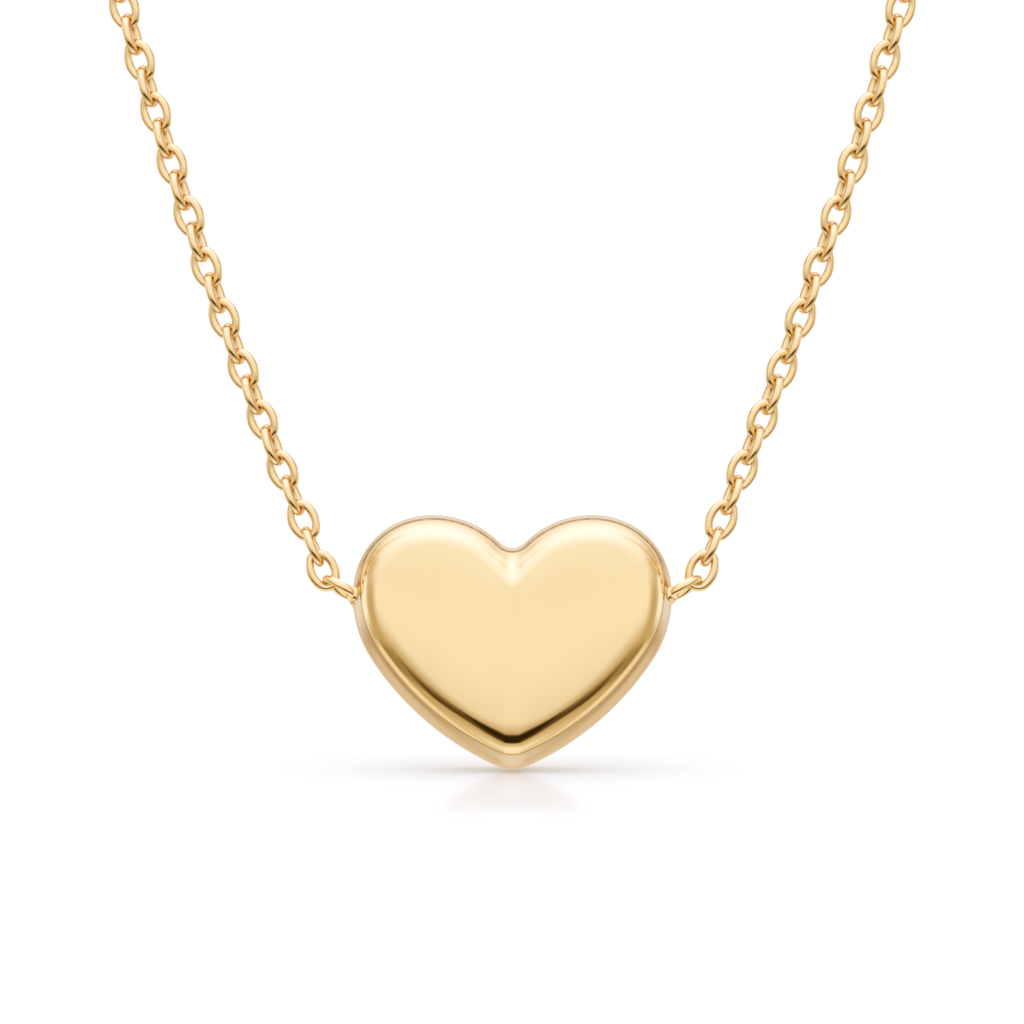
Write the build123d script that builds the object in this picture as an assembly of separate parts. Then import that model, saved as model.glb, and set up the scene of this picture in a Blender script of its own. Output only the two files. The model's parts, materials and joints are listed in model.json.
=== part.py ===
from build123d import *
from collections import namedtuple
from math import asinh, atan2, cos, degrees, hypot, pi, radians, sin, tan
import os

os.makedirs("parts", exist_ok=True)

# Heart pendant: a puffed heart with a rounded band round its edge and a domed face on each side.
# The domed shell sits a little high in the band, which therefore shows widest below.
HEART_WIDTH = 11.0
HEART_THICKNESS = 3.8
FACE_RADIUS = 50.0
SHOULDER_RADIUS = 0.85
SEAM_INSET = 0.34
SHELL_RISE = 0.18
BAND_DEPTH = 2.0
BAND_FLAT = 0.2
FUSE_TOLERANCE = 0.001

# Half of the heart's outline, walked from the tip to the notch as tangent arcs.
# Each radius is a share of the heart's width, and each heading is the direction at the arc's end.
Arc = namedtuple("Arc", "place radius heading")
OUTLINE = [
    Arc("tip", 0.1225, 23.8),
    Arc("flank", 0.913, 56.4),
    Arc("side", 0.353, 96.7),
    Arc("lobe", 0.240, 168.2),
    Arc("inner lobe", 0.2963, 224.7),
]
NOTCH_HEADING = 180.0

# Soldered side loops, each a ring that stands almost edge-on to the front and points outwards and up
LOOP_OUTER = 1.6
LOOP_WIRE = 0.29
LOOP_RISE = 32.0
LOOP_TILT = 5.0
LOOP_STAND_OFF = 0.38
LOOP_SET_FORWARD = 0.08
SEAT_RADIUS = 0.4
SEAT_HEIGHT = 0.5
SEAT_BURIED = 0.15

# Cable chain of oval links
LINK_LENGTH = 1.545
LINK_WIDTH = 1.1
LINK_WIRE = 0.25
LINK_END_SHARE = 0.81
LINK_GAP = 0.115
LINK_TURN = 20.0
LINK_TWIST = 5.0
LOOP_CLEARANCE = 0.09

# The front strands hang as catenaries, each from its heart loop
CATENARY = 17.0
HEART_PULL = 37.5
FRONT_LINKS = 26

# Place of the heart's loops below and in front of the nape, where the origin is
HEART_DROP = 142.0
HEART_FORWARD = 84.0

# Clasp at the nape: a plain ring with an eye on each side
CLASP_RING = 5.0
CLASP_WIRE = 0.9
EYE_RING = 1.9
EYE_WIRE = 0.4
EYE_OVERLAP = 0.3
CLASP_GAP = 0.3

# Right-hand route of the chain from the end of the front strand, over the shoulder to the clasp
ROUTE = [
    (20.6, -83.3, -98.0),
    (26.9, -81.0, -75.2),
    (33.1, -75.8, -52.3),
    (39.1, -66.0, -30.9),
    (43.8, -51.0, -13.8),
    (44.4, -33.0, -4.2),
    (38.2, -17.0, -0.6),
    (26.0, -5.6, 0.4),
    (11.6, -0.7, 0.1),
]
TUBE_WIDTH = LINK_WIDTH
RUN_SHARE = 0.45

# Middle line of a link's wire: half its length and width, and the radius and place of its end arcs
HALF_LENGTH = (LINK_LENGTH - LINK_WIRE) / 2
HALF_WIDTH = (LINK_WIDTH - LINK_WIRE) / 2
END_RADIUS = LINK_END_SHARE * HALF_WIDTH
END_CENTRE = HALF_LENGTH - END_RADIUS
PITCH = LINK_LENGTH - 2 * LINK_WIRE - LINK_GAP
HANG = LOOP_OUTER / 2 - LOOP_WIRE - LINK_WIRE / 2 - LOOP_CLEARANCE


def outline_arcs():
    """Each arc of the right half outline as centre x, centre z, radius, first and last angle."""
    x, z, heading = 0.0, 0.0, 0.0
    arcs = []
    for arc in OUTLINE:
        radius = arc.radius * HEART_WIDTH
        end = radians(arc.heading)
        centre_x = x - radius * sin(heading)
        centre_z = z + radius * cos(heading)
        arcs.append((centre_x, centre_z, radius, heading - pi / 2, end - pi / 2))
        x = centre_x + radius * sin(end)
        z = centre_z - radius * cos(end)
        heading = end
    # The notch arc bends the other way and ends on the middle line
    radius = -x / sin(heading)
    centre_z = z - radius * cos(heading)
    notch_end = radians(NOTCH_HEADING)
    arcs.append((0.0, centre_z, -radius, heading + pi / 2, notch_end + pi / 2))
    return arcs


def heart_face(inset):
    """The heart's outline as a face in the XZ plane, moved inwards by inset, its tip near z = 0."""
    edges = []
    for side in (1, -1):
        for centre_x, centre_z, radius, first, last in outline_arcs():
            reach = abs(radius - inset)
            places = []
            for angle in (first, (first + last) / 2, last):
                places.append((side * (centre_x + reach * cos(angle)), 0, centre_z + reach * sin(angle)))
            edges.append(ThreePointArc(*places))
    return make_face(edges)


def widest_height():
    """Height of the heart's widest place above its tip."""
    side = [arc for arc, row in zip(outline_arcs(), OUTLINE) if row.place == "side"][0]
    return side[1]


def slab(inset, depth):
    """The heart's outline as a slab, centred front to back."""
    return extrude(heart_face(inset), depth / 2, dir=(0, 1, 0), both=True)


def rims(solid):
    """The edges round the front face and the back face of a slab."""
    faces = solid.faces().sort_by(Axis.Y)
    return faces[0].edges() + faces[-1].edges()


def heart_body():
    """Band and domed shell of the heart, upright, its tip near z = 0 and its middle plane at y = 0."""
    band = slab(0, BAND_DEPTH)
    band = fillet(rims(band), (BAND_DEPTH - BAND_FLAT) / 2)
    shell = slab(SEAM_INSET, HEART_THICKNESS)
    sink = FACE_RADIUS - HEART_THICKNESS / 2
    for side in (1, -1):
        shell = shell & Pos(0, side * sink, widest_height()) * Sphere(FACE_RADIUS)
    shell = fillet(rims(shell), SHOULDER_RADIUS)
    return band.fuse(Pos(0, 0, SHELL_RISE) * shell, tol=FUSE_TOLERANCE)


def loop_plane(centre, side):
    """The plane of a side loop: its x points outwards and up, its z along the hole."""
    rise = radians(LOOP_RISE)
    outward = (side * cos(rise), 0, sin(rise))
    hole = (-side * sin(rise), 0, cos(rise))
    return Plane(origin=centre, x_dir=outward, z_dir=hole).rotated((-side * LOOP_TILT, 0, 0))


def ring(outer, wire):
    """A round ring of round wire in the XY plane."""
    return Torus((outer - wire) / 2, wire / 2)


def side_loop(side):
    """One side loop for a swing axis at y = z = 0: its two solder seats and then its ring."""
    rise = radians(LOOP_RISE)
    centre = (side * (HEART_WIDTH / 2 + LOOP_STAND_OFF), 0, -HANG * sin(rise))
    middle = (LOOP_OUTER - LOOP_WIRE) / 2
    inward = LOOP_STAND_OFF / cos(rise)
    root = (middle**2 - inward**2) ** 0.5
    pieces = []
    for way in (1, -1):
        arm = Plane(origin=(-inward, way * root, 0), z_dir=(root, way * inward, 0))
        seat = Cone(SEAT_RADIUS, LOOP_WIRE / 2, SEAT_HEIGHT)
        pieces.append(arm * Pos(0, 0, SEAT_HEIGHT / 2 - SEAT_BURIED) * seat)
    pieces.append(ring(LOOP_OUTER, LOOP_WIRE))
    return [loop_plane(centre, side) * piece for piece in pieces]


def contact_x():
    """Distance of a loop's contact with its chain from the middle of the heart."""
    return HEART_WIDTH / 2 + LOOP_STAND_OFF + HANG * cos(radians(LOOP_RISE))


def heart_pendant():
    """The heart with both loops, hanging with its centre of mass right below the swing axis."""
    seat_height = -(contact_x() - HEART_WIDTH / 2) * tan(radians(LOOP_RISE))
    heart = Pos(0, LOOP_SET_FORWARD, seat_height - widest_height()) * heart_body()
    for piece in side_loop(1) + side_loop(-1):
        heart = heart + piece
    mass = heart.center(CenterOf.MASS)
    lean = degrees(atan2(mass.Y, -mass.Z))
    print(f"heart leans back {lean:.2f} degrees, centre of mass {hypot(mass.Y, mass.Z):.2f} mm below its axis")
    return Rot(-lean, 0, 0) * heart


def link():
    """One oval link in the XY plane, its length along Y, of two end arcs and two wider side arcs."""
    side_radius = (HALF_WIDTH**2 + END_CENTRE**2 - END_RADIUS**2) / (2 * (HALF_WIDTH - END_RADIUS))
    joint = atan2(END_CENTRE, side_radius - HALF_WIDTH)
    x = END_RADIUS * cos(joint)
    y = END_CENTRE + END_RADIUS * sin(joint)
    path = Wire(
        [
            ThreePointArc((x, -y), (HALF_WIDTH, 0), (x, y)),
            ThreePointArc((x, y), (0, HALF_LENGTH), (-x, y)),
            ThreePointArc((-x, y), (-HALF_WIDTH, 0), (-x, -y)),
            ThreePointArc((-x, -y), (0, -HALF_LENGTH), (x, -y)),
        ]
    )
    section = Plane(origin=path @ 0, z_dir=path % 0) * Circle(LINK_WIRE / 2)
    return sweep(section, path=path)


def strand_heading(length):
    """Heading of the right front strand at a length from its first link's middle."""
    return Vector(CATENARY, 0, HEART_PULL + length).normalized()


def strand_width(length, turn):
    """Direction of a link's width at a place of the strand, turned about the strand."""
    heading = strand_heading(length)
    outward = Vector(heading.Z, 0, -heading.X)
    return outward * cos(radians(turn)) + Vector(0, 1, 0) * sin(radians(turn))


def first_link():
    """Middle of the first link, which bears on the loop where its end faces along the loop's line."""
    steepness = atan2(HEART_PULL, CATENARY)
    contact = steepness - radians(LOOP_RISE)
    along = END_CENTRE + END_RADIUS * cos(contact)
    aside = END_RADIUS * sin(contact)
    return Vector(contact_x(), 0, 0) + strand_heading(0) * along + strand_width(0, 0) * aside


def strand_point(length):
    """A place on the right front strand, at a length from its first link's middle."""
    reach = HEART_PULL + length
    across = CATENARY * (asinh(reach / CATENARY) - asinh(HEART_PULL / CATENARY))
    rise = hypot(CATENARY, reach) - hypot(CATENARY, HEART_PULL)
    return first_link() + Vector(across, 0, rise)


def link_turn(index):
    """Turn of a link about its strand: the first faces the front, and the next ones twist away from it."""
    return min(LINK_TURN, LINK_TWIST * index) + 90 * (index % 2)


def front_chain():
    """The links of the right front strand."""
    single = link()
    links = []
    for index in range(FRONT_LINKS):
        length = index * PITCH
        heading = strand_heading(length)
        width = strand_width(length, link_turn(index))
        place = Plane(origin=strand_point(length), x_dir=width, z_dir=width.cross(heading))
        links.append(place * single)
    return links


def seam_length():
    """Length of the front strand from its first link's middle to the back tube."""
    return (FRONT_LINKS - 1) * PITCH + LINK_LENGTH / 2 + LINK_GAP


def route_points():
    """Corners of the right back tube, from the end of the front strand to the clasp."""
    start = strand_point(seam_length()) + Vector(0, -HEART_FORWARD, -HEART_DROP)
    end = Vector(clasp_half_length() + CLASP_GAP, 0, 0)
    return [start] + [Vector(*point) for point in ROUTE] + [end]


def back_chain():
    """The right back stretch of the chain as a plain tube of its width."""
    points = route_points()
    runs = [after - before for before, after in zip(points, points[1:])]
    radii = []
    for before, after in zip(runs, runs[1:]):
        turn = radians(before.get_angle(after))
        radii.append(RUN_SHARE * min(before.length, after.length) / tan(turn / 2))
    path = FilletPolyline(*points, radius=radii)
    tube = sweep(Plane(origin=path @ 0, z_dir=path % 0) * Circle(TUBE_WIDTH / 2), path=path)
    section = pi * TUBE_WIDTH**2 / 4
    print("runs", [round(run.length, 1) for run in runs])
    print("radii", [round(radius, 1) for radius in radii])
    print(f"tube length {path.length:.2f}, its volume over its section {tube.volume / section:.2f}")
    half = first_link().X + seam_length() + path.length + CLASP_GAP + clasp_half_length()
    print(f"whole necklace {2 * half:.1f} mm round, {path.length / PITCH:.1f} links in each back stretch")
    return tube


def eye_centre():
    """Distance of a clasp eye's middle from the clasp's middle."""
    return (CLASP_RING + EYE_RING) / 2 - EYE_OVERLAP


def clasp_half_length():
    """Distance of the clasp's end from its middle."""
    return eye_centre() + EYE_RING / 2


def clasp():
    """The closed clasp as one plain ring with an eye on each side."""
    solid = ring(CLASP_RING, CLASP_WIRE)
    for side in (1, -1):
        solid = solid + Pos(side * eye_centre(), 0, 0) * ring(EYE_RING, EYE_WIRE)
    return Rot(90, 0, 0) * solid


place = Pos(0, -HEART_FORWARD, -HEART_DROP)
export_step(place * heart_pendant(), "parts/heart_pendant.step")
export_step(clasp(), "parts/clasp.step")

links = [place * one for one in front_chain()]
tube = back_chain()
export_step(Compound(children=links), "parts/chain_front_right.step")
export_step(tube, "parts/chain_back_right.step")
mirrored = [mirror(one, Plane.YZ) for one in links]
export_step(Compound(children=mirrored), "parts/chain_front_left.step")
export_step(mirror(tube, Plane.YZ), "parts/chain_back_left.step")
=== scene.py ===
"""Gold heart on a fine cable chain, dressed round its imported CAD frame.

Each sub-assembly is a class: the heart with its two side loops, the front strands, the back
strands and the clasp. Sizes are in millimetres until a finished mesh is put in its place.
"""

import json
import logging
from dataclasses import dataclass
from enum import Enum
from math import acos, asinh, atan2, ceil, cos, exp, hypot, pi, radians, sin, tan

import bmesh
import bpy
from bmesh.types import BMEdge, BMesh, BMVert
from bpy.types import Material, Mesh, Node, NodeSocket, Object, World
from mathutils import Matrix, Quaternion, Vector

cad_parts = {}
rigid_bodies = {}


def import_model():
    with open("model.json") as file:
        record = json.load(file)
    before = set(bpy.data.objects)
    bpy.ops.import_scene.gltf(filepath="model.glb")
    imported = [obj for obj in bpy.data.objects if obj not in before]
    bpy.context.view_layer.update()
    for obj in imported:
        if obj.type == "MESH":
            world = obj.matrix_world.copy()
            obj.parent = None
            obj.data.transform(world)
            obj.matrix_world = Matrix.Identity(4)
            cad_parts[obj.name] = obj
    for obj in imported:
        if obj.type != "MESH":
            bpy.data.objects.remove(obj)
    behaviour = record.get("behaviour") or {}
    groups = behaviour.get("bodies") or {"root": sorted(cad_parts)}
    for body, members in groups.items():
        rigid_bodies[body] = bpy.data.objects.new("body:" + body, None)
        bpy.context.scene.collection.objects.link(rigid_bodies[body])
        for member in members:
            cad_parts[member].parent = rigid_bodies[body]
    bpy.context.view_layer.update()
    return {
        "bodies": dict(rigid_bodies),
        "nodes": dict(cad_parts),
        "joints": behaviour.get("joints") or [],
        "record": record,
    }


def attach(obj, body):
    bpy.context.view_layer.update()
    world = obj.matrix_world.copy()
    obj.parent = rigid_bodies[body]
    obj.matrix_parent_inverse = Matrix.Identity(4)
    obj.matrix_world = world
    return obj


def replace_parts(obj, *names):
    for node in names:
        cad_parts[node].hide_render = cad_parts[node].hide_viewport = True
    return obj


LOG = logging.getLogger("necklace")

Pair = tuple[float, float]
Place = tuple[float, float, float]
Colour = tuple[float, float, float, float]

MM = 0.001
WELD = 0.0005
LATHE_STEPS = 24
LINK_TURN = 90.0
WHITE = (1.0, 1.0, 1.0, 1.0)
CHAIN_BODY = "chain"
HEART_BODY = "heart"
RUBBED = "rubbed"
# Marks the seam row, where a thin dark line of painted shade stands in for the crease's shade.
PAINTED_SHADE = "painted_shade"
# Marks the satin band: rougher, and darkened in colour as painted shade for its dimmer reflections.
SATIN_AND_SHADE = "satin_and_shade"

HEART_PLACE = Vector((0.0, -84.0, -142.0))
FLOOR_DROP = Vector((0.0, 0.0, -6.37))
FORWARD = Vector((0.0, -1.0, 0.0))
BACKWARD = Vector((0.0, 1.0, 0.0))
UPWARD = Vector((0.0, 0.0, 1.0))
MIDDLE = Vector((0.0, 0.0, 0.0))


class Side(Enum):
    """The wearer's chain seen from the front: which way it lies from the middle."""

    RIGHT = 1
    LEFT = -1

    def turn(self, vector: Vector) -> Vector:
        """Gives a right-hand vector as it is on this side."""
        return Vector((self.value * vector.x, vector.y, vector.z))


class Polish(Enum):
    """How a gold surface is finished."""

    MIRROR = "mirror"
    DRAWN = "drawn"
    TUMBLED = "tumbled"


# Shader graphs


class Signal:
    """A number socket of a graph that takes part in Python arithmetic."""

    def __init__(self, graph: "Graph", socket: NodeSocket) -> None:
        """Wraps a socket of the graph."""
        self.graph = graph
        self.socket = socket

    def maths(self, operation: str, *others: "Signal | float") -> "Signal":
        """Adds a Math node that takes this signal and then the others."""
        return self.graph.maths(operation, self, *others)

    def __add__(self, other: "Signal | float") -> "Signal":
        """Adds."""
        return self.maths("ADD", other)

    __radd__ = __add__

    def __mul__(self, other: "Signal | float") -> "Signal":
        """Multiplies."""
        return self.maths("MULTIPLY", other)

    __rmul__ = __mul__

    def __rsub__(self, other: float) -> "Signal":
        """Subtracts this signal from a number."""
        return self.graph.maths("SUBTRACT", other, self)

    def __abs__(self) -> "Signal":
        """Drops the sign."""
        return self.maths("ABSOLUTE")

    def ramp(self, start: float, end: float) -> "Signal":
        """Rises smoothly from 0 at start to 1 at end.

        Args:
            start: Value that gives 0.
            end: Value that gives 1, above or below start.

        Returns:
            The smooth step.
        """
        if start > end:
            return 1 - self.ramp(end, start)
        node = self.graph.node(
            "ShaderNodeMapRange",
            {"interpolation_type": "SMOOTHSTEP"},
            {"Value": self, "From Min": start, "From Max": end},
        )
        return Signal(self.graph, node.outputs["Result"])


class Graph:
    """The node tree of a material or a world."""

    def __init__(self, owner: Material | World) -> None:
        """Empties the owner's node tree.

        Args:
            owner: The material or world.
        """
        owner.use_nodes = True
        self.tree = owner.node_tree
        self.tree.nodes.clear()

    def node(
        self,
        kind: str,
        settings: dict[str, object] | None = None,
        inputs: dict[str, object] | None = None,
    ) -> Node:
        """Adds a node.

        Args:
            kind: Blender's name for the node's type.
            settings: The node's own settings, which are set first.
            inputs: Values or links of its sockets, by identifier or name.

        Returns:
            The new node.
        """
        node = self.tree.nodes.new(kind)
        for name, value in (settings or {}).items():
            setattr(node, name, value)
        for name, value in (inputs or {}).items():
            socket = pick(node.inputs, name)
            source = value.socket if isinstance(value, Signal) else value
            if isinstance(source, NodeSocket):
                self.tree.links.new(source, socket)
            else:
                socket.default_value = source
        return node

    def maths(self, operation: str, *values: Signal | float) -> Signal:
        """Adds a Math node with an operation and its inputs in order."""
        terms = dict(zip(("Value", "Value_001", "Value_002"), values))
        return Signal(self, self.node("ShaderNodeMath", {"operation": operation}, terms).outputs[0])

    def blend(self, share: Signal, first: object, second: object) -> NodeSocket:
        """Mixes a share of the second colour or socket into the first."""
        ends = {"Factor_Float": share, "A_Color": first, "B_Color": second}
        return pick(self.node("ShaderNodeMix", {"data_type": "RGBA"}, ends).outputs, "Result_Color")

    def mix(self, share: object, first: Node, second: Node) -> Node:
        """Mixes a share of the second shader into the first."""
        inputs = {"Fac": share, "Shader": first.outputs[0], "Shader_001": second.outputs[0]}
        return self.node("ShaderNodeMixShader", None, inputs)

    def attribute(self, name: str) -> Signal:
        """Reads a number that the mesh carries on its points."""
        node = self.node("ShaderNodeAttribute", {"attribute_name": name})
        return Signal(self, node.outputs["Fac"])

    def noise(self, places: NodeSocket, scale: float, detail: float) -> Signal:
        """Adds noise in octaves of detail, of so many cells to a metre, mostly 0.3 to 0.7."""
        inputs = {"Vector": places, "Scale": scale, "Detail": detail}
        return Signal(self, self.node("ShaderNodeTexNoise", None, inputs).outputs[0])

    def turned(self, places: NodeSocket, turn: Place, scale: Place) -> NodeSocket:
        """Turns coordinates about each axis, in degrees, and stretches them along it."""
        inputs = {"Vector": places, "Rotation": tuple(map(radians, turn)), "Scale": scale}
        return self.node("ShaderNodeMapping", None, inputs).outputs["Vector"]


def pick(sockets: object, name: str) -> NodeSocket:
    """Finds one of a node's sockets by its identifier, or else by its name."""
    named = [socket for socket in sockets if socket.identifier == name]
    return named[0] if named else sockets[name]


# Finishes


@dataclass(frozen=True)
class GoldFinish:
    """Polished yellow gold with the fine marks of its polish, and painted shade on seam and band.
    """

    polish: Polish
    colour: Colour
    edge_tint: Colour
    roughness: float
    wear: float
    mark_scale: float
    mark_depth: float
    mark_strength: float = 0.25
    # Painted shade: the dark brown line drawn along the crease between band and shoulder.
    painted_seam_shade_colour: Colour = (0.50, 0.30, 0.09, 1.0)
    seam_roughness: float = 0.12
    # Painted shade: the satin band's darker colour stands in for its dimmer reflections.
    painted_band_shade_colour: Colour = (0.82, 0.63, 0.39, 1.0)
    satin_roughness: float = 0.2
    cloud_scale: float = 0.06
    cloud_octaves: float = 3.0
    cloud_edges: Pair = (0.35, 0.65)
    cloud_wear: float = 0.4
    cloud_tint: float = 0.35
    tint_depth: float = 0.985
    line_turns: Place = (17.0, -38.0, 71.0)
    line_stretch: Place = (1.0, 0.6, 0.05)
    line_octaves: float = 2.0
    line_edges: Pair = (0.62, 0.72)
    line_wear: float = 0.6

    def material(self) -> Material:
        """Makes the node-based material.

        Returns:
            The material.
        """
        material = bpy.data.materials.new(f"gold_{self.polish.value}")
        graph = Graph(material)
        places = graph.node("ShaderNodeTexCoord").outputs["Object"]
        hairlines = self.hairlines(graph, places)
        noise = graph.noise(places, self.mark_scale * self.cloud_scale, self.cloud_octaves)
        clouds = noise.ramp(*self.cloud_edges)
        rubbed, painted_shade, satin_and_shade = map(graph.attribute, (RUBBED, PAINTED_SHADE, SATIN_AND_SHADE))
        marks = self.line_wear * hairlines + self.cloud_wear * clouds + rubbed
        worn = self.roughness + self.wear * marks
        tinted = graph.blend(self.cloud_tint * clouds, self.colour, self.toned())
        # Painted shade: the satin band is darkened towards its own colour.
        toned = graph.blend(satin_and_shade, tinted, self.painted_band_shade_colour)
        relief = {
            "Strength": self.mark_strength,
            "Distance": self.mark_depth * MM,
            "Height": 1 - hairlines,
        }
        inputs = {
            # Painted shade: the seam row takes the dark seam colour as a line along the crease.
            "Base Color": graph.blend(painted_shade, toned, self.painted_seam_shade_colour),
            "Metallic": 1.0,
            "Specular Tint": self.edge_tint,
            "Roughness": worn + self.seam_roughness * painted_shade + self.satin_roughness * satin_and_shade,
            "Normal": graph.node("ShaderNodeBump", None, relief).outputs["Normal"],
        }
        gold = graph.node("ShaderNodeBsdfPrincipled", None, inputs)
        graph.node("ShaderNodeOutputMaterial", None, {"Surface": gold.outputs["BSDF"]})
        return material

    def toned(self) -> Colour:
        """Gives the gold's colour a little darker and redder."""
        (red, green, blue, _), depth = self.colour, self.tint_depth
        return (red * depth, green * depth**2, blue * depth**4, 1.0)

    def hairlines(self, graph: Graph, places: NodeSocket) -> Signal:
        """Draws the faint crossing lines of a polishing wheel.

        Args:
            graph: The material's graph.
            places: Object coordinates.

        Returns:
            Lines near 1 on a ground of 0.
        """
        lines = None
        for turn in self.line_turns:
            drawn = graph.turned(places, (0.0, turn, 0.0), self.line_stretch)
            sheet = graph.noise(drawn, self.mark_scale, self.line_octaves).ramp(*self.line_edges)
            lines = sheet if lines is None else lines.maths("MAXIMUM", sheet)
        return lines


YELLOW_GOLD = (0.966, 0.758, 0.436, 1.0)
WIRE_GOLD = (0.962, 0.748, 0.437, 1.0)
PALE_EDGE = (0.94, 0.86, 0.76, 1.0)
DEEP_EDGE = (0.75, 0.50, 0.26, 1.0)


@dataclass(frozen=True)
class FloorFinish:
    """Smooth white studio floor with a weak, soft gloss."""

    colour: Colour = (0.92, 0.92, 0.92, 1.0)
    gloss: float = 0.27
    gloss_roughness: float = 0.12
    gloss_fade: Pair = (10.0, 26.0)

    def material(self) -> Material:
        """Makes the floor's material.

        Returns:
            The material.
        """
        material = bpy.data.materials.new("white_floor")
        graph = Graph(material)
        places = graph.node("ShaderNodeTexCoord").outputs["Object"]
        contact = graph.node(
            "ShaderNodeVectorMath",
            {"operation": "DISTANCE"},
            {"Vector": places, "Vector_001": HEART_PLACE * MM + FLOOR_DROP * MM},
        )
        away = Signal(graph, contact.outputs["Value"]) * (1 / MM)
        matt = graph.node("ShaderNodeBsdfDiffuse", None, {"Color": self.colour})
        shine = {"Color": WHITE, "Roughness": self.gloss_roughness}
        gloss = graph.node("ShaderNodeBsdfGlossy", None, shine)
        mixed = graph.mix(self.gloss * (1 - away.ramp(*self.gloss_fade)), matt, gloss)
        graph.node("ShaderNodeOutputMaterial", None, {"Surface": mixed.outputs[0]})
        return material


# Mesh helpers


def new_part() -> BMesh:
    """Starts an empty mesh whose points can be marked for painted seam shade, rubbing, or satin
    with painted shade.

    Returns:
        The mesh.
    """
    bm = bmesh.new()
    for name in (PAINTED_SHADE, RUBBED, SATIN_AND_SHADE):
        bm.verts.layers.float.new(name)
    return bm


def move(bm: BMesh, matrix: Matrix) -> None:
    """Moves a whole mesh."""
    bmesh.ops.transform(bm, matrix=matrix, verts=bm.verts)


def absorb(bm: BMesh, part: BMesh, place: Matrix) -> None:
    """Adds a part to a mesh.

    Args:
        bm: The mesh.
        part: The part. It is freed.
        place: Where the part goes.
    """
    mesh = bpy.data.meshes.new("part")
    move(part, place)
    part.to_mesh(mesh)
    part.free()
    bm.from_mesh(mesh)
    bpy.data.meshes.remove(mesh)


def spin_round(bm: BMesh, steps: int) -> None:
    """Turns the section that a mesh holds all the way round the Z axis."""
    section = [*bm.verts, *bm.edges]
    bmesh.ops.spin(
        bm, geom=section, cent=MIDDLE, axis=UPWARD, angle=2 * pi, steps=steps, use_merge=True
    )


def wire_section(bm: BMesh, reach: float, wire: float, sides: int) -> None:
    """Adds the round section of a wire, standing on the X axis at a reach from the Z axis."""
    stand = Matrix.Translation((reach, 0.0, 0.0)) @ Matrix.Rotation(pi / 2, 4, "X")
    bmesh.ops.create_circle(bm, segments=sides, radius=wire / 2, matrix=stand)


def round_ring(outer: float, wire: float, steps: int, sides: int) -> BMesh:
    """Makes a round ring of round wire in the XY plane.

    Args:
        outer: The ring's outer diameter.
        wire: The wire's diameter.
        steps: Faces round the ring.
        sides: Faces round the wire.

    Returns:
        The ring.
    """
    bm = new_part()
    wire_section(bm, (outer - wire) / 2, wire, sides)
    spin_round(bm, steps)
    return bm


def turned_profile(profile: tuple[Pair, ...]) -> BMesh:
    """Makes a part on a lathe, round the Z axis.

    Args:
        profile: Radius and height of each corner.

    Returns:
        The part.
    """
    bm = new_part()
    radius, height = profile[0]
    corner = bmesh.ops.create_vert(bm, co=(radius, 0.0, height))["vert"]
    for radius, height in profile[1:]:
        corner = bmesh.ops.extrude_vert_indiv(bm, verts=corner)["verts"]
        corner[0].co = (radius, 0.0, height)
    spin_round(bm, LATHE_STEPS)
    bmesh.ops.remove_doubles(bm, verts=bm.verts, dist=WELD)
    return bm


def to_object(bm: BMesh, name: str, finish: Material) -> Object:
    """Turns a finished mesh in millimetres into an object in metres.

    Args:
        bm: The mesh, already in its place. It is freed.
        name: The object's name.
        finish: Its material.

    Returns:
        The object.
    """
    bmesh.ops.scale(bm, vec=(MM, MM, MM), verts=bm.verts)
    mesh = bpy.data.meshes.new(name)
    bm.to_mesh(mesh)
    bm.free()
    mesh.materials.append(finish)
    made = bpy.data.objects.new(name, mesh)
    bpy.context.scene.collection.objects.link(made)
    return made


def to_piece(bm: BMesh, name: str, finish: Material, body: str) -> Object:
    """Turns a finished mesh into a piece of the necklace.

    Args:
        bm: The mesh, already in its place. It is freed.
        name: The piece's name.
        finish: Its material.
        body: The CAD body that it rides on.

    Returns:
        The piece.
    """
    bmesh.ops.recalc_face_normals(bm, faces=bm.faces)
    for face in bm.faces:
        face.smooth = True
    LOG.info("%s: %d vertices, %d faces", name, len(bm.verts), len(bm.faces))
    piece = to_object(bm, name, finish)
    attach(piece, body)
    return piece


def axes_matrix(x_axis: Vector, y_axis: Vector, place: Vector) -> Matrix:
    """Gives the frame at a place whose X and Y axes, of length 1, are square to each other."""
    turn = Matrix((x_axis, y_axis, x_axis.cross(y_axis))).transposed()
    return Matrix.Translation(place) @ turn.to_4x4()


# Heart


@dataclass(frozen=True)
class OutlineArc:
    """A tangent arc of the half outline: radius as a share of the width, and heading at its end."""

    radius: float
    heading: float


@dataclass
class OutlinePoint:
    """A corner of the half outline, with the directions out of the heart at its band and face."""

    vertex: BMVert
    outward: Vector
    spread: Vector | None = None
    reach: float = 1.0
    swell: float = 0.0


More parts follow.
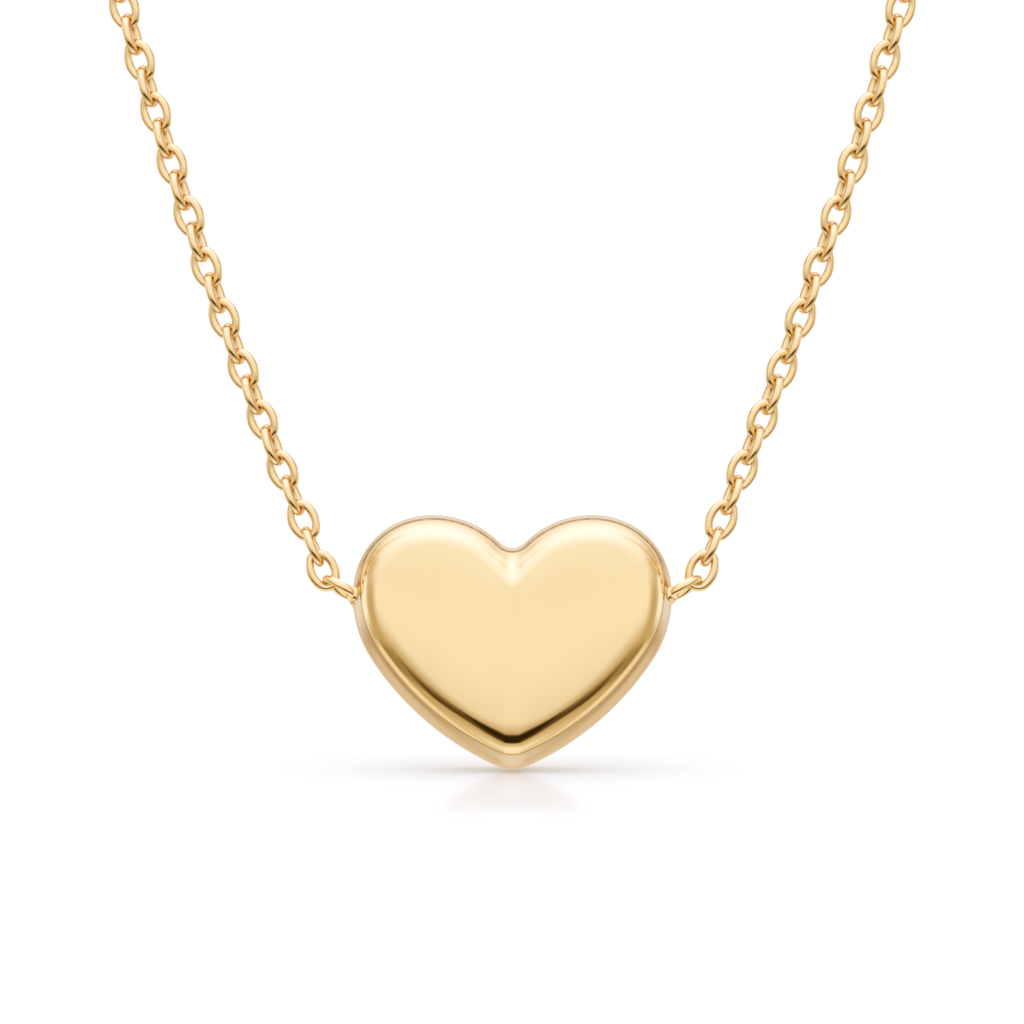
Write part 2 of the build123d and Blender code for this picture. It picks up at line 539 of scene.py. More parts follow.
@dataclass
class HeartPendant:
    """The puffed heart: a rounded band, a seam and a soft face on each side, and two loops."""

    width: float = 11.0
    height_share: float = 1.01
    half_thickness: float = 1.9
    face_radius: float = 50.0
    band_radius: float = 1.3
    seam_inset: float = 0.285
    seam_rise: float = 0.245
    least_inset: float = 0.155
    # Width over which the painted shade line fades on the band side of the seam.
    painted_seam_shade_width: float = 0.04
    shoulder_width: float = 0.84
    shoulder_power: float = 2.1
    valley_width: float = 1.2
    valley_power: float = 1.5
    valley_reach: float = 0.25
    roll: float = 0.22
    roll_reach: float = 0.8
    roll_power: int = 4
    step: float = 0.12
    weld: float = 0.0012
    mirror_weld: float = 0.001
    softness: float = 0.5
    tip_softness: float = 1.8
    tip_heading: float = 27.0
    tip_swell: float = 0.45
    tip_swell_width: float = 1.0
    band_steps: int = 9
    shoulder_steps: int = 26
    face_rings: int = 14
    face_middle: float = -1.2
    face_fade: float = 2.2
    loop_outer: float = 1.56
    loop_wire: float = 0.3
    loop_steps: int = 56
    loop_sides: int = 18
    loop_rise: float = 32.0
    loop_tilt: float = 12.0
    loop_lift: float = 0.04
    loop_narrow: float = 0.82
    loop_stand_off: float = 0.38
    loop_hang: float = 0.295
    loop_back: float = 0.08
    flare: float = 0.16
    flare_sunk: float = 0.05
    flare_steps: int = 8
    flare_stretch: float = 1.5
    web_profile: tuple[Pair, ...] = (
        (0.42, -0.15), (0.37, -0.03), (0.29, 0.06),
        (0.20, 0.15), (0.10, 0.22), (0.0, 0.25),
    )
    web_drop: float = 0.05
    web_rise: float = 15.0
    lean: float = 3.41
    crown_wear: float = 5.0
    crown_start: float = 0.15
    crown_full: float = 0.5
    arcs_to_widest: int = 3
    outline: tuple[OutlineArc, ...] = (
        OutlineArc(0.1225, 23.8),
        OutlineArc(0.913, 56.4),
        OutlineArc(0.353, 96.7),
        OutlineArc(0.240, 168.2),
        OutlineArc(0.2963, 224.7),
    )

    def walk_outline(self, bm: BMesh) -> list[OutlinePoint]:
        """Draws the right half of the outline from the tip to the notch, arc by arc.

        Args:
            bm: The mesh.

        Returns:
            The corners in order.
        """
        last = bmesh.ops.create_vert(bm, co=MIDDLE)["vert"][0]
        points = [OutlinePoint(last, Vector((0.0, 0.0, -1.0)))]
        heading = 0.0
        for arc in self.outline:
            radius, end = arc.radius * self.width, radians(arc.heading)
            points += self.walk_arc(bm, points[-1], heading, end, radius)
            heading = end
        notch_radius = points[-1].vertex.co.x / sin(heading)
        points += self.walk_arc(bm, points[-1], heading, pi, notch_radius)
        points[-1].vertex.co.x = 0.0
        points[-1].outward = UPWARD
        self.spread_tip(points)
        return points

    def spread_tip(self, points: list[OutlinePoint]) -> None:
        """Sets the directions over the band and over the face, which keeps its point round.

        Args:
            points: The half outline.
        """
        true = [point.outward for point in points]
        evened = self.soften(true, self.softness)
        widest = next(index for index, outward in enumerate(true) if outward.z > 0.0)
        lower = self.soften(evened[:widest], self.tip_softness)
        flank = radians(self.tip_heading)
        for index, point in enumerate(points):
            point.outward = evened[index]
            point.spread = lower[index] if index < widest else evened[index]
            if index < widest:
                heading = max(flank, atan2(true[index].x, -true[index].z))
                turned = atan2(point.spread.x, -point.spread.z)
                point.reach = 1 / cos(heading - turned)
                aside = point.vertex.co.x / self.tip_swell_width
                point.swell = self.tip_swell * exp(-(aside**2))

    def soften(self, directions: list[Vector], reach: float) -> list[Vector]:
        """Evens directions along the outline.

        Args:
            directions: The directions, whose first and last are kept.
            reach: How far it evens, in millimetres.

        Returns:
            The evened directions.
        """
        for _ in range(round(2 * (reach / self.step) ** 2)):
            triples = zip(directions, directions[1:], directions[2:])
            inner = [(before + 2 * here + after).normalized() for before, here, after in triples]
            directions = [directions[0], *inner, directions[-1]]
        return directions

    def walk_arc(
        self, bm: BMesh, last: OutlinePoint, heading: float, end: float, radius: float
    ) -> list[OutlinePoint]:
        """Draws one arc of the outline.

        Args:
            bm: The mesh.
            last: The corner that it starts from.
            heading: Direction of travel at its start.
            end: Direction of travel at its end.
            radius: Its radius, below 0 where it bends the other way.

        Returns:
            The corners after the first.
        """
        count = len(bm.verts)
        outward = Vector((sin(heading), 0.0, -cos(heading)))
        centre = last.vertex.co - outward * radius
        steps = ceil(abs((end - heading) * radius) / self.step)
        bmesh.ops.spin(
            bm, geom=[last.vertex], cent=centre, axis=FORWARD, angle=end - heading, steps=steps
        )
        bm.verts.ensure_lookup_table()
        corners = bm.verts[count:]
        return [OutlinePoint(corner, (corner.co - centre) / radius) for corner in corners]

    def widest_height(self) -> float:
        """Finds how far the widest place is above the tip.

        Returns:
            The height.
        """
        height, heading = 0.0, 0.0
        for arc in self.outline[: self.arcs_to_widest]:
            radius = arc.radius * self.width
            centre = height + radius * cos(heading)
            heading = radians(arc.heading)
            height = centre - radius * cos(heading)
        return centre

    def face_height(self, place: Vector) -> float:
        """Gives how far the domed face stands from the outline's plane at a place on it."""
        across = hypot(place.x, place.z - self.widest_height())
        return self.half_thickness - across**2 / (2 * self.face_radius)

    def section(self, point: OutlinePoint, run: float) -> list[Vector]:
        """Lays out the section over band, seam, shoulder and face at one corner of the outline.

        Args:
            point: The corner.
            run: Its distance along the outline from the notch.

        Returns:
            The places from the middle plane to the face.
        """
        place, outward = point.vertex.co.copy(), point.outward
        inset = max(self.least_inset, self.seam_inset - self.seam_rise * outward.z)
        turn = acos(1 - inset / self.band_radius)
        places = []
        for step in range(self.band_steps + 1):
            angle = turn * step / self.band_steps
            inward, depth = self.band_radius * (1 - cos(angle)), self.band_radius * sin(angle)
            places.append(place - outward * inward + FORWARD * depth)
        seam = places[-1]
        # Puts the last band corner this width from the seam, so the painted shade line fades over
        # it.
        places[-1] = seam.lerp(places[-2], self.painted_seam_shade_width / (inset - self.band_inset(turn)))
        places.append(seam)
        valley = exp(-((run / self.valley_reach) ** 2))
        width = self.shoulder_width + (self.valley_width - self.shoulder_width) * valley
        power = self.shoulder_power + (self.valley_power - self.shoulder_power) * valley
        roll = self.roll * (1 - max(0.0, -outward.z) ** self.roll_power)
        rise = self.face_height(place - outward * inset) - roll + seam.y
        for step in range(1, self.shoulder_steps + 1):
            angle = pi / 2 * step / self.shoulder_steps
            inward = width * (1 - abs(cos(angle)) ** (2 / power))
            reach = point.reach + point.swell * inward
            flat = place - outward * inset - point.spread * inward * reach
            drop = rise * (1 - sin(angle) ** (2 / power)) + roll * exp(-inward / self.roll_reach)
            places.append(flat + FORWARD * (self.face_height(flat) - drop))
        middle = Vector((0.0, 0.0, self.widest_height() + self.face_middle))
        edge = flat
        for ring in range(1, self.face_rings + 1):
            flat = flat.lerp(middle, 1 / (self.face_rings + 1 - ring))
            past = (flat - edge).length
            share = min(1.0, past / self.face_fade)
            fade = 1 - share**2 * (3 - 2 * share)
            drop = fade * roll * exp(-(width + past) / self.roll_reach)
            places.append(flat + FORWARD * (self.face_height(flat) - drop))
        return places

    def band_inset(self, turn: float) -> float:
        """Gives the inset of the last corner but one of a band that turns by this angle."""
        return self.band_radius * (1 - cos(turn * (1 - 1 / self.band_steps)))

    def build_quarter(self, bm: BMesh) -> None:
        """Builds the front right quarter of the body.

        Args:
            bm: The mesh.
        """
        points = self.walk_outline(bm)
        painted_shade, satin_and_shade, rubbed = (bm.verts.layers.float[name] for name in (PAINTED_SHADE, SATIN_AND_SHADE, RUBBED))
        # The outline's own corners lie on the satin band with its painted shade.
        for point in points:
            point.vertex[satin_and_shade] = 1.0
        last = len(points) - 1
        sections = [self.section(point, (last - n) * self.step) for n, point in enumerate(points)]
        ring = [point.vertex for point in points]
        for row, places in enumerate(zip(*sections)):
            ring = extrude_ring(bm, ring, places)
            past = row - self.band_steps - self.shoulder_steps
            share = min(1.0, max(0.0, 1.0 - past / self.face_rings)) * (row > self.band_steps)
            for vertex, point in zip(ring, points):
                # Seam row: the line of painted shade.
                vertex[painted_shade] = float(row == self.band_steps + 1)
                # Band rows: satin roughness, with a darker colour as painted shade.
                vertex[satin_and_shade] = float(row <= self.band_steps)
                vertex[rubbed] = share * self.wear(point.outward.z)
        bmesh.ops.remove_doubles(bm, verts=ring, dist=self.weld)

    def wear(self, upward: float) -> float:
        """Gives how much clothes rub the lobes where the outline looks this far upward."""
        share = (upward - self.crown_start) / (self.crown_full - self.crown_start)
        return self.crown_wear * min(1.0, max(0.0, share))

    def build_body(self, bm: BMesh) -> None:
        """Mirrors the quarter into the whole body and hangs it by its loops.

        Args:
            bm: The mesh.
        """
        self.build_quarter(bm)
        for axis in ("X", "Y"):
            half = [*bm.verts, *bm.edges, *bm.faces]
            bmesh.ops.mirror(
                bm, geom=half, matrix=Matrix.Identity(4), merge_dist=self.mirror_weld, axis=axis
            )
        lift = Matrix.Translation((0.0, self.loop_back, self.seat_height()))
        taller = Matrix.Scale(self.height_share, 4, UPWARD)
        down = Matrix.Translation((0.0, 0.0, -self.widest_height()))
        move(bm, lift @ taller @ down)

    def contact(self) -> float:
        """Gives how far the chain's contact with a loop is from the middle."""
        return self.width / 2 + self.loop_stand_off + self.loop_hang * cos(radians(self.loop_rise))

    def seat_height(self) -> float:
        """Gives the height of the widest place below the swing axis, as a negative number."""
        return -(self.contact() - self.width / 2) * tan(radians(self.loop_rise))

    def build_loop(self, bm: BMesh, side: Side) -> None:
        """Adds one soldered loop with its two flared seats.

        Args:
            bm: The mesh.
            side: The side it is on.
        """
        rise = radians(self.loop_rise)
        loop = round_ring(self.loop_outer, self.loop_wire, self.loop_steps, self.loop_sides)
        bmesh.ops.scale(loop, vec=(1.0, self.loop_narrow, 1.0), verts=loop.verts)
        middle = (self.loop_outer - self.loop_wire) / 2
        inward = self.loop_stand_off / cos(rise)
        root = self.loop_narrow * (middle**2 - inward**2) ** 0.5
        outward = side.turn(Vector((cos(rise), 0.0, sin(rise))))
        stand = side.turn(Vector((self.width / 2 + self.loop_stand_off, 0.0, 0.0)))
        stand.z = self.loop_lift - self.loop_hang * sin(rise)
        tilt = Matrix.Rotation(radians(-side.value * self.loop_tilt), 4, "X")
        plane = axes_matrix(outward, side.value * BACKWARD, stand) @ tilt
        absorb(bm, loop, plane)
        stretch = Matrix.Diagonal((self.flare_stretch, 1.0, 1.0, 1.0))
        for way in (1, -1):
            foot = plane @ Vector((-inward, way * root, 0.0))
            absorb(bm, self.seat(), self.wall_frame(foot, side) @ stretch)
        foot = plane @ Vector((-inward, 0.0, 0.0))
        foot.z -= self.web_drop
        upturn = Matrix.Rotation(radians(-side.value * self.web_rise), 4, "Y")
        absorb(bm, turned_profile(self.web_profile), self.wall_frame(foot, side) @ upturn)

    def wall_frame(self, foot: Vector, side: Side) -> Matrix:
        """Gives the frame of a seat on the band: X upwards along it and Z out of it.

        Args:
            foot: Where the wire meets the heart, at the seat's height and depth.
            side: The side it is on.

        Returns:
            The frame.
        """
        depth = foot.y - self.loop_back
        middle = side.value * (self.width / 2 - self.band_radius)
        reach = (self.band_radius**2 - depth**2) ** 0.5
        normal = Vector((side.value * reach, depth, 0.0)).normalized()
        centre = Vector((middle, self.loop_back, foot.z))
        place = centre + normal * (self.band_radius - self.flare_sunk)
        return axes_matrix(UPWARD, normal.cross(UPWARD), place)

    def seat(self) -> BMesh:
        """Makes a solder flare that opens from the wire to the wall at Z = 0.

        Returns:
            The flare.
        """
        wire, flare, last = self.loop_wire / 2, self.flare, self.flare_steps
        angles = [pi / 2 * step / last for step in range(last + 1)]
        curve = [(wire + flare * (1 - cos(angle)), flare * (1 - sin(angle))) for angle in angles]
        return turned_profile(((0.0, flare), *curve))

    def build(self, finish: Material) -> Object:
        """Builds the whole pendant in its place.

        Args:
            finish: The gold.

        Returns:
            The piece.
        """
        bm = new_part()
        self.build_body(bm)
        for side in Side:
            self.build_loop(bm, side)
        move(bm, Matrix.Translation(HEART_PLACE) @ Matrix.Rotation(radians(-self.lean), 4, "X"))
        piece = to_piece(bm, "heart", finish, HEART_BODY)
        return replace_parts(piece, "heart_pendant")


def extrude_ring(bm: BMesh, ring: list[BMVert], places: tuple[Vector, ...]) -> list[BMVert]:
    """Extrudes a row of vertices and puts the new ones in their places.

    Args:
        bm: The mesh.
        ring: The row.
        places: The places of the new row.

    Returns:
        The new row.
    """
    edges = [bm.edges.get(pair) for pair in zip(ring, ring[1:])]
    made = bmesh.ops.extrude_edge_only(bm, edges=edges)["geom"]
    fresh = {item for item in made if isinstance(item, BMVert)}
    row = []
    for corner, place in zip(ring, places):
        twins = [edge.other_vert(corner) for edge in corner.link_edges]
        twin = next(vertex for vertex in twins if vertex in fresh)
        twin.co = place
        row.append(twin)
    return row


# Chain


@dataclass(frozen=True)
class ChainLink:
    """An oval link of round wire, its middle line two end arcs and two wider side arcs."""

    length: float = 1.514
    width: float = 1.10
    wire: float = 0.292
    give: float = 0.005
    end_share: float = 0.81
    end_steps: int = 12
    side_steps: int = 8
    sides: int = 16

    @property
    def pitch(self) -> float:
        """Gives the distance from a link to the next one that it pulls on."""
        return self.length - 2 * self.wire + self.give

    def template(self) -> Mesh:
        """Makes one link in the XY plane, its length along Y, in millimetres.

        Returns:
            The mesh.
        """
        half_length, half_width = (self.length - self.wire) / 2, (self.width - self.wire) / 2
        end = self.end_share * half_width
        centre = half_length - end
        side = (half_width**2 + centre**2 - end**2) / (2 * (half_width - end))
        reach = atan2(centre, side - half_width)
        bm = new_part()
        wire_section(bm, half_width, self.wire, self.sides)
        start = Matrix.Rotation(-reach, 4, "Z")
        pivot = Matrix.Translation((half_width - side, 0.0, 0.0))
        move(bm, pivot @ start @ pivot.inverted())
        section = [*bm.verts, *bm.edges]
        for way in (1, -1):
            side_arc = (Vector((way * (half_width - side), 0.0, 0.0)), 2 * reach, self.side_steps)
            end_arc = (Vector((0.0, way * centre, 0.0)), pi - 2 * reach, self.end_steps)
            for middle, angle, steps in (side_arc, end_arc):
                made = bmesh.ops.spin(
                    bm, geom=section, cent=middle, axis=UPWARD, angle=angle, steps=steps
                )
                section = made["geom_last"]
        bmesh.ops.remove_doubles(bm, verts=bm.verts, dist=WELD)
        bmesh.ops.recalc_face_normals(bm, faces=bm.faces)
        rubbed = bm.verts.layers.float[RUBBED]
        for vertex in bm.verts:
            inner = hypot(vertex.co.x, abs(vertex.co.y) - centre) < end
            vertex[rubbed] = float(inner and abs(vertex.co.y) > centre)
        mesh = bpy.data.meshes.new("link_template")
        bm.to_mesh(mesh)
        bm.free()
        return mesh


def build_strand(name: str, link: ChainLink, frames: list[Matrix], finish: Material) -> Object:
    """Builds a strand with a link at each frame.

    Args:
        name: The CAD node that the strand replaces.
        link: The link.
        frames: X along each link's width and Y along its length.
        finish: The gold.

    Returns:
        The piece.
    """
    bm, template = bmesh.new(), link.template()
    for frame in frames:
        placed = template.copy()
        placed.transform(frame)
        bm.from_mesh(placed)
        bpy.data.meshes.remove(placed)
    LOG.info("%s: %d links", name, len(frames))
    piece = to_piece(bm, f"{name}_links", finish, CHAIN_BODY)
    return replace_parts(piece, name)


@dataclass
class FrontStrand:
    """The links of one front strand, which hang in a catenary from the heart's loop."""

    side: Side
    link: ChainLink
    catenary: float = 16.8
    pull: float = 37.6
    count: int = 26
    start: Place = (6.459, 0.0, 0.545)
    droop: tuple[Pair, ...] = ((0.079, -0.023), (0.041, -0.051))
    seam: float = 24.1375
    turn: float = 20.0
    twist: float = 5.0

    def heading(self, length: float) -> Vector:
        """Gives the right strand's heading at a length from its first link."""
        return Vector((self.catenary, 0.0, self.pull + length)).normalized()

    def across(self, length: float, turn: float) -> Vector:
        """Gives a link's width direction, turned about the strand by an angle in degrees."""
        heading, angle = self.heading(length), radians(turn)
        return Vector((heading.z, 0.0, -heading.x)) * cos(angle) + BACKWARD * sin(angle)

    def point(self, length: float) -> Vector:
        """Gives a place on the right strand.

        Args:
            length: Length along it from the first link's middle.

        Returns:
            The place in the necklace's frame.
        """
        reach = self.pull + length
        sideways = self.catenary * (asinh(reach / self.catenary) - asinh(self.pull / self.catenary))
        rise = hypot(self.catenary, reach) - hypot(self.catenary, self.pull)
        return HEART_PLACE + Vector(self.start) + Vector((sideways, 0.0, rise))

    def link_turn(self, index: int) -> float:
        """Gives a link's turn about the strand in degrees."""
        return min(self.turn, self.twist * index) + LINK_TURN * (index % 2)

    def frames(self) -> list[Matrix]:
        """Places the links.

        Returns:
            A frame for each link.
        """
        frames = []
        for index in range(self.count):
            length = index * self.link.pitch
            place = self.point(length)
            if index < len(self.droop):
                outward, upward = self.droop[index]
                place += Vector((outward, 0.0, upward))
            across = self.side.turn(self.across(length, self.link_turn(index)))
            heading = self.side.turn(self.heading(length))
            frames.append(axes_matrix(across, heading, self.side.turn(place)))
        return frames

    def build(self, finish: Material) -> Object:
        """Builds the strand of this gold."""
        name = f"chain_front_{self.side.name.lower()}"
        return build_strand(name, self.link, self.frames(), finish)


@dataclass
class BackStrand:
    """The links of one back strand, along a smooth line over the shoulder to the clasp."""

    front: FrontStrand
    link: ChainLink
    clasp_end: float = 4.17
    resolution: int = 24
    order: int = 3
    route: tuple[Place, ...] = (
        (20.6, -83.3, -98.0),
        (26.9, -81.0, -75.2),
        (33.1, -75.8, -52.3),
        (39.1, -66.0, -30.9),
        (43.8, -51.0, -13.8),
        (44.4, -33.0, -4.2),
        (38.2, -17.0, -0.6),
        (26.0, -5.6, 0.4),
        (11.6, -0.7, 0.1),
    )

    def line(self) -> list[Vector]:
        """Reads the right-hand line from the route's spline.

        Returns:
            Points along it in millimetres.
        """
        seam = self.front.point(self.front.seam)
        corners = [seam, *map(Vector, self.route), Vector((self.clasp_end, 0.0, 0.0))]
        curve = bpy.data.curves.new("back_route", "CURVE")
        curve.dimensions = "3D"
        curve.resolution_u = self.resolution
        spline = curve.splines.new("NURBS")
        spline.points.add(len(corners) - 1)
        for point, corner in zip(spline.points, corners):
            point.co = (*(corner * MM), 1.0)
        spline.order_u = self.order
        spline.use_endpoint_u = True
        holder = bpy.data.objects.new("back_route", curve)
        bpy.context.scene.collection.objects.link(holder)
        bpy.context.view_layer.update()
        mesh = bpy.data.meshes.new_from_object(holder)
        points = [vertex.co / MM for vertex in mesh.vertices]
        bpy.data.objects.remove(holder)
        bpy.data.curves.remove(curve)
        bpy.data.meshes.remove(mesh)
        return points

    def frames(self) -> list[Matrix]:
        """Places the links at one pitch, each turned square to the last, up to the clasp's eye.

        Returns:
            A frame for each link.
        """
        points = self.line()
        first = self.front.count * self.front.link.pitch - self.front.seam
        total = sum((after - before).length for before, after in zip(points, points[1:]))
        count = round((total - first) / self.link.pitch) + 1
        pitch = (total - first) / (count - 1)
        places = walk_line(points, [first + index * pitch for index in range(count)])
        length = self.front.count * self.front.link.pitch
        across = self.front.across(length, self.front.link_turn(self.front.count))
        headings, widths = [], []
        for _, heading in places:
            if headings:
                across = headings[-1].rotation_difference(heading) @ across
            across = (across - heading * across.dot(heading)).normalized()
            headings.append(heading)
            widths.append(across)
        last = Quaternion(headings[-1], radians(LINK_TURN * ((count - 1) % 2))) @ widths[-1]
        miss = atan2(last.cross(BACKWARD).dot(headings[-1]), last.dot(BACKWARD))
        miss = (miss + pi / 2) % pi - pi / 2
        side = self.front.side
        frames = []
        for index, (place, heading) in enumerate(places):
            turn = radians(LINK_TURN * (index % 2)) + miss * index / (count - 1)
            width = side.turn(Quaternion(heading, turn) @ widths[index])
            frames.append(axes_matrix(width, side.turn(heading), side.turn(place)))
        return frames

    def build(self, finish: Material) -> Object:
        """Builds the strand, which reflections don't show.

        Args:
            finish: The gold.

        Returns:
            The piece.
        """
        name = f"chain_back_{self.front.side.name.lower()}"
        piece = build_strand(name, self.link, self.frames(), finish)
        piece.visible_glossy = False
        return piece


def walk_line(points: list[Vector], lengths: list[float]) -> list[tuple[Vector, Vector]]:
    """Finds places along a line of points.

    Args:
        points: The line.
        lengths: Lengths along it, rising.

    Returns:
        The place and heading at each length.
    """
    steps = [after - before for before, after in zip(points, points[1:])]
    places = []
    run, passed = 0, 0.0
    for length in lengths:
        while run < len(steps) - 1 and passed + steps[run].length < length:
            passed += steps[run].length
            run += 1
        share = (length - passed) / steps[run].length
        before, after = points[max(run - 1, 0)], points[min(run + 2, len(steps))]
        places.append((points[run] + steps[run] * share, (after - before).normalized()))
    return places


# Clasp


@dataclass
class SpringClasp:
    """The closed spring ring at the nape: a tube, the bolt that closes it, a lever and two eyes."""

    outer: float = 5.0
    tube: float = 0.9
    tube_sides: int = 24
    ring_steps: int = 84
    cap_inset: float = 0.09
    cap_depth: float = 0.05
    bolt: float = 0.62
    bolt_steps: int = 20
    opening: float = 58.0
    opening_middle: float = 35.0
    eye_outer: float = 1.9
    eye_wire: float = 0.4
    eye_steps: int = 40
    eye_sides: int = 16
    eye_overlap: float = 0.3
    bolt_hidden: float = 8.0
    lever_middle: float = 118.0
    lever_height: float = 1.0
    lever_wire: float = 0.3
    lever_sides: int = 20
    ball_rings: int = 12
    ball_share: float = 0.8

    def arc(self, wire: float, sweep: float, steps: int) -> BMesh:
        """Makes a capped stretch of the ring from the X axis on.

        Args:
            wire: Its diameter.
            sweep: How far it runs, in degrees.
            steps: Faces along it.

        Returns:
            The stretch.
        """
        bm = new_part()
        wire_section(bm, (self.outer - self.tube) / 2, wire, self.tube_sides)
        start = list(bm.edges)
        section = [*bm.verts, *start]
        spun = bmesh.ops.spin(
            bm, geom=section, cent=MIDDLE, axis=UPWARD, angle=radians(sweep), steps=steps
        )
        end = [item for item in spun["geom_last"] if isinstance(item, BMEdge)]
        for loop in (start, end):
            cap = bmesh.ops.contextual_create(bm, geom=loop)["faces"]
            inset, depth = wire * self.cap_inset, wire * self.cap_depth
            bmesh.ops.inset_region(bm, faces=cap, thickness=inset, depth=depth)
        return bm

    def lever(self) -> BMesh:
        """Makes the small ball-headed lever that draws the bolt back, standing on the X axis.

        Returns:
            The lever.
        """
        bm = new_part()
        foot = self.outer / 2 - self.tube / 2
        lie = Matrix.Rotation(pi / 2, 4, "Y")
        bmesh.ops.create_cone(
            bm,
            cap_ends=True,
            segments=self.lever_sides,
            radius1=self.lever_wire / 2,
            radius2=self.lever_wire / 2,
            depth=self.lever_height,
            matrix=Matrix.Translation((foot + self.lever_height / 2, 0.0, 0.0)) @ lie,
        )
        bmesh.ops.create_uvsphere(
            bm,
            u_segments=self.lever_sides,
            v_segments=self.ball_rings,
            radius=self.lever_wire * self.ball_share,
            matrix=Matrix.Translation((foot + self.lever_height, 0.0, 0.0)) @ lie,
        )
        return bm

    def build(self, finish: Material) -> Object:
        """Builds the clasp standing in the XZ plane at the nape.

        Args:
            finish: The gold.

        Returns:
            The piece.
        """
        ring = new_part()
        start = self.opening_middle + self.opening / 2
        bolt_start = start - self.opening - self.bolt_hidden
        bolt_sweep = self.opening + 2 * self.bolt_hidden
        parts = (
            (self.arc(self.tube, 360.0 - self.opening, self.ring_steps), start),
            (self.arc(self.bolt, bolt_sweep, self.bolt_steps), bolt_start),
            (self.lever(), self.lever_middle),
        )
        for part, turn in parts:
            absorb(ring, part, Matrix.Rotation(radians(turn), 4, "Z"))
        for side in Side:
            eye = round_ring(self.eye_outer, self.eye_wire, self.eye_steps, self.eye_sides)
            aside = side.value * ((self.outer + self.eye_outer) / 2 - self.eye_overlap)
            absorb(ring, eye, Matrix.Translation((aside, 0.0, 0.0)))
        move(ring, Matrix.Rotation(pi / 2, 4, "X"))
        piece = to_piece(ring, "spring_clasp", finish, CHAIN_BODY)
        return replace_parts(piece, "clasp")


# Studio


@dataclass(frozen=True)
class RoomPatch:
    """A soft-edged part of the room by its direction, in degrees.

    Each edge is a pair: where the patch has faded out and where it is full. Angles aside are
    counted from the front to either side, and heights from the horizon.
    """

    colour: Colour
    near: Pair | None = None
    far: Pair | None = None
    low: Pair | None = None
    high: Pair | None = None

    def share(self, aside: Signal, height: Signal) -> Signal:
        """Gives how much of the patch there is in a direction.

        Args:
            aside: The direction's angle from the front.
            height: Its height.

        Returns:
            The share.
        """
        edges = ((self.near, aside), (self.far, aside), (self.low, height), (self.high, height))
        shares = [angle.ramp(*edge) for edge, angle in edges if edge]
        whole = shares[0]
        for part in shares[1:]:
            whole = whole * part
        return whole


COOL_WHITE = (1.20, 1.32, 1.85, 1.0)
WINDOW = (1.04, 1.12, 1.30, 1.0)
FLOOR_WHITE = (1.03, 1.03, 1.05, 1.0)
CREAM = (0.93, 0.86, 0.75, 1.0)
PALE = (0.74, 0.64, 0.46, 1.0)
HONEY = (0.70, 0.59, 0.42, 1.0)
DUSK = (0.60, 0.47, 0.26, 1.0)
BROWN = (0.38, 0.26, 0.11, 1.0)
UMBER = (0.115, 0.064, 0.014, 1.0)
BLACK = (0.032, 0.018, 0.003, 1.0)

ROOM = (
    RoomPatch(COOL_WHITE, low=(6.0, 80.0)),
    RoomPatch(HONEY, near=(60.0, 94.0), far=(164.0, 138.0), low=(-40.0, -20.0), high=(44.0, 20.0)),
    RoomPatch(DUSK, far=(128.0, 104.0), high=(-2.0, -30.0)),
    RoomPatch(PALE, far=(164.0, 140.0), high=(-46.0, -58.0)),
    RoomPatch(FLOOR_WHITE, high=(-56.0, -70.0)),
    RoomPatch(WINDOW, near=(90.0, 106.0), far=(154.0, 140.0), low=(-24.0, -10.0), high=(14.0, 4.0)),
    RoomPatch(DUSK, near=(46.0, 74.0), far=(94.0, 80.0), low=(-34.0, -24.0), high=(20.0, -6.0)),
    RoomPatch(CREAM, near=(90.0, 106.0), low=(-60.0, -46.0), high=(-24.0, -34.0)),
    RoomPatch(BROWN, near=(40.0, 56.0), far=(100.0, 86.0), low=(-44.0, -38.0), high=(-24.0, -34.0)),
    RoomPatch(UMBER, far=(64.0, 48.0), low=(-45.0, -39.0), high=(-23.0, -36.0)),
    RoomPatch(UMBER, far=(40.0, 26.0), low=(-50.0, -45.0), high=(-23.0, -36.0)),
    RoomPatch(BLACK, far=(28.0, 21.0), low=(-50.0, -45.0), high=(-24.0, -31.0)),
)


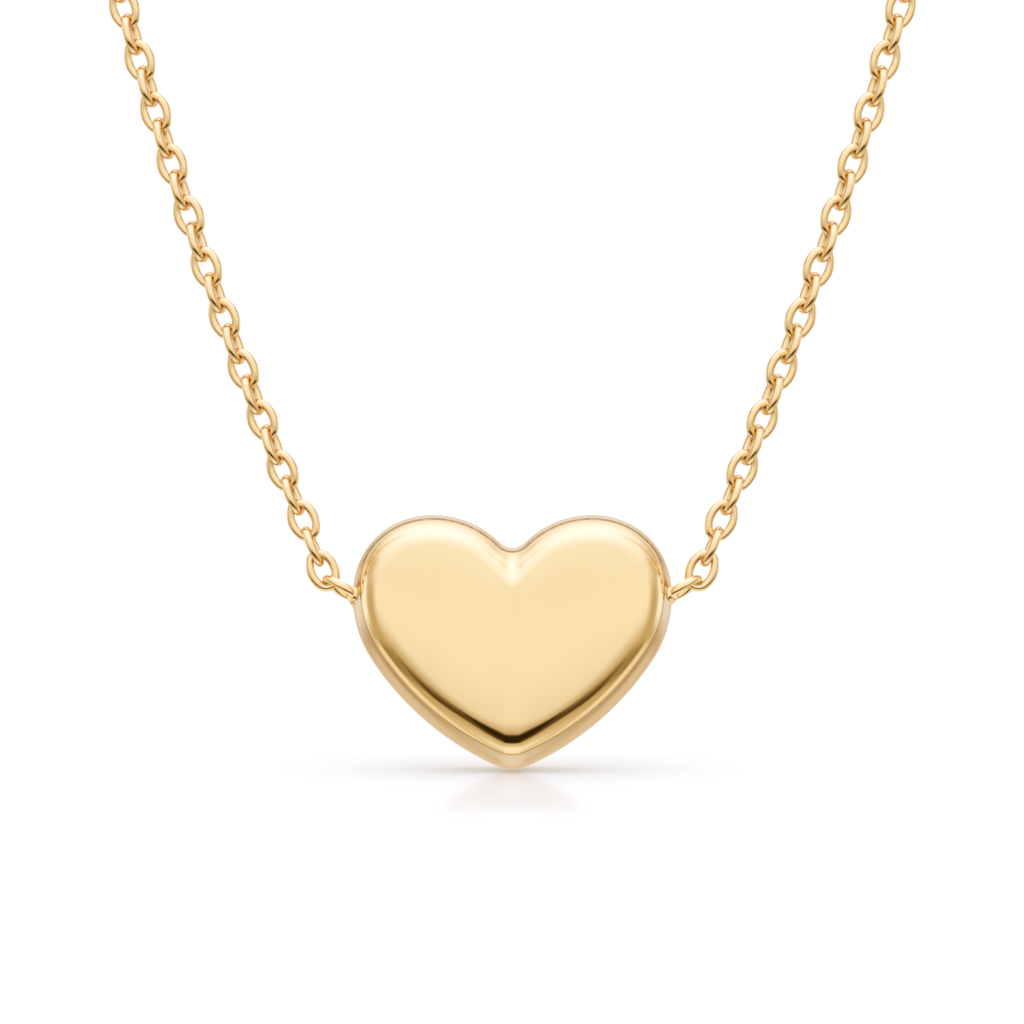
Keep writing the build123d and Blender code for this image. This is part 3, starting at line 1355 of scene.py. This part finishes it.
@dataclass(frozen=True)
class Studio:
    """White room with a soft dark bay in front and below, a pale floor and a long-lens camera."""

    frame_width: float = 35.31
    middle: Place = (-0.012, -84.0, -139.46)
    distance: float = 500.0
    elevation: float = 4.0
    sensor: float = 36.0
    clip_start: float = 0.01
    floor_size: float = 1600.0
    floor_fill: float = 1.22

    def set_camera(self) -> None:
        """Looks at the heart from the front and a little above."""
        camera = bpy.data.cameras.new("camera")
        camera.sensor_width = self.sensor
        camera.lens = self.sensor * self.distance / self.frame_width
        camera.clip_start = self.clip_start
        holder = bpy.data.objects.new("camera", camera)
        tilt = radians(self.elevation)
        away = Vector((0.0, -cos(tilt), sin(tilt)))
        holder.location = (Vector(self.middle) + away * self.distance) * MM
        holder.rotation_euler = (pi / 2 - tilt, 0.0, 0.0)
        bpy.context.scene.collection.objects.link(holder)
        bpy.context.scene.camera = holder
        bpy.context.scene.view_settings.view_transform = "Standard"

    def set_floor(self) -> None:
        """Lays the floor just below the heart's tip."""
        bm = bmesh.new()
        place = Matrix.Translation(HEART_PLACE + FLOOR_DROP)
        bmesh.ops.create_grid(bm, x_segments=1, y_segments=1, size=self.floor_size, matrix=place)
        floor = to_object(bm, "floor", FloorFinish().material())
        floor.visible_glossy = False

    def set_light(self) -> None:
        """Lights the room from all round by the direction of each reflection."""
        world = bpy.data.worlds.new("studio")
        bpy.context.scene.world = world
        graph = Graph(world)
        seen = graph.node("ShaderNodeTexCoord").outputs["Generated"]
        parts = graph.node("ShaderNodeSeparateXYZ", None, {"Vector": seen})
        x, y, z = (Signal(graph, socket) for socket in parts.outputs)
        aside = graph.maths("ARCTAN2", abs(x), 0 - y) * (180 / pi)
        height = z.maths("ARCSINE") * (180 / pi)
        colour = WHITE
        for patch in ROOM:
            colour = graph.blend(patch.share(aside, height), colour, patch.colour)
        room = graph.node("ShaderNodeBackground", None, {"Color": colour, "Strength": 1.0})
        plain = graph.node("ShaderNodeBackground", None, {"Color": WHITE, "Strength": 1.0})
        glow = {"Color": WHITE, "Strength": self.floor_fill}
        fill = graph.node("ShaderNodeBackground", None, glow)
        path = graph.node("ShaderNodeLightPath")
        soft = graph.mix(path.outputs["Is Diffuse Ray"], room, fill)
        shown = graph.mix(path.outputs["Is Camera Ray"], soft, plain)
        graph.node("ShaderNodeOutputWorld", None, {"Surface": shown.outputs[0]})

    def build(self) -> None:
        """Sets up camera, floor and light."""
        self.set_camera()
        self.set_floor()
        self.set_light()


# Whole necklace


@dataclass(frozen=True)
class Finishes:
    """The golds of the necklace."""

    heart: GoldFinish = GoldFinish(
        Polish.MIRROR, YELLOW_GOLD, PALE_EDGE,
        roughness=0.045, wear=0.03, mark_scale=9000.0, mark_depth=0.0006,
    )
    wire: GoldFinish = GoldFinish(
        Polish.DRAWN, WIRE_GOLD, DEEP_EDGE,
        roughness=0.07, wear=0.05, mark_scale=16000.0, mark_depth=0.003,
    )
    clasp: GoldFinish = GoldFinish(
        Polish.TUMBLED, WIRE_GOLD, DEEP_EDGE,
        roughness=0.1, wear=0.06, mark_scale=12000.0, mark_depth=0.004,
    )


def main() -> None:
    """Dresses the necklace."""
    logging.basicConfig(level=logging.INFO, format="%(name)s %(message)s")
    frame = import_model()
    Studio().build()
    finishes = Finishes()
    HeartPendant().build(finishes.heart.material())
    wire = finishes.wire.material()
    fine = ChainLink()
    coarse = ChainLink(end_steps=4, side_steps=2, sides=5)
    for side in Side:
        front = FrontStrand(side, fine)
        front.build(wire)
        BackStrand(front, coarse).build(wire)
    SpringClasp().build(finishes.clasp.material())
    LOG.info("dressed %d CAD nodes", len(frame["nodes"]))


if __name__ == "__main__":
    main()
